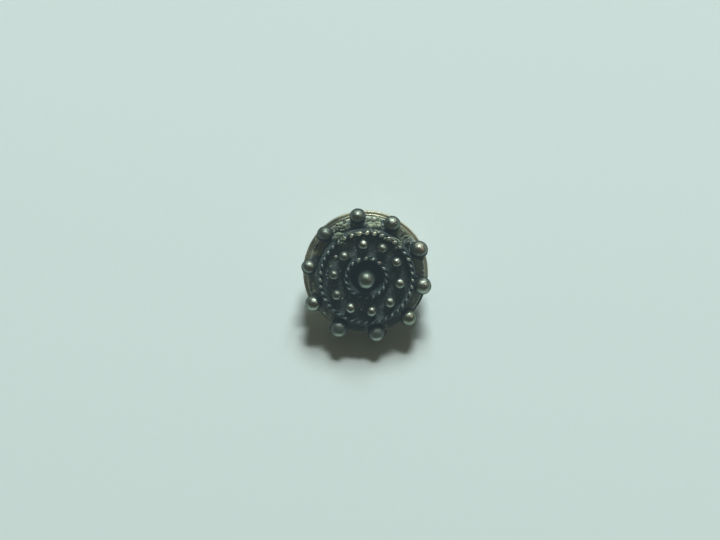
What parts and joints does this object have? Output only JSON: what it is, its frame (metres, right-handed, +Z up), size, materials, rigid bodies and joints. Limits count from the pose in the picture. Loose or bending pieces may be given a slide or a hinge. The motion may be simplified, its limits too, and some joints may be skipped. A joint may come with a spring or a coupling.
{
  "type": "button brooch",
  "caption": "Round granulated silver button with twisted wire rings and a raised centre ball, on a gilt disc with a brooch pin behind.",
  "frame": {"origin": "on the surface that the brooch lies on, under the middle of its box", "axes": "+Z up from the surface, +Y towards the raised upper edge of the leaning disc, +X along the brooch pin towards its point"},
  "size_m": [0.012, 0.0114, 0.008],
  "materials": {
    "oxidised_silver": "dark oxidised silver, rubbed brighter on the balls and wires",
    "gilt_brass": "worn gilding on brass, browned, with fine turned lines",
    "plain_brass": "plain satin brass, slightly browned"
  },
  "bodies": {
    "root": {"button": "oxidised_silver", "back_disc": "gilt_brass", "brooch_pin": "plain_brass"}
  },
  "joints": []
}
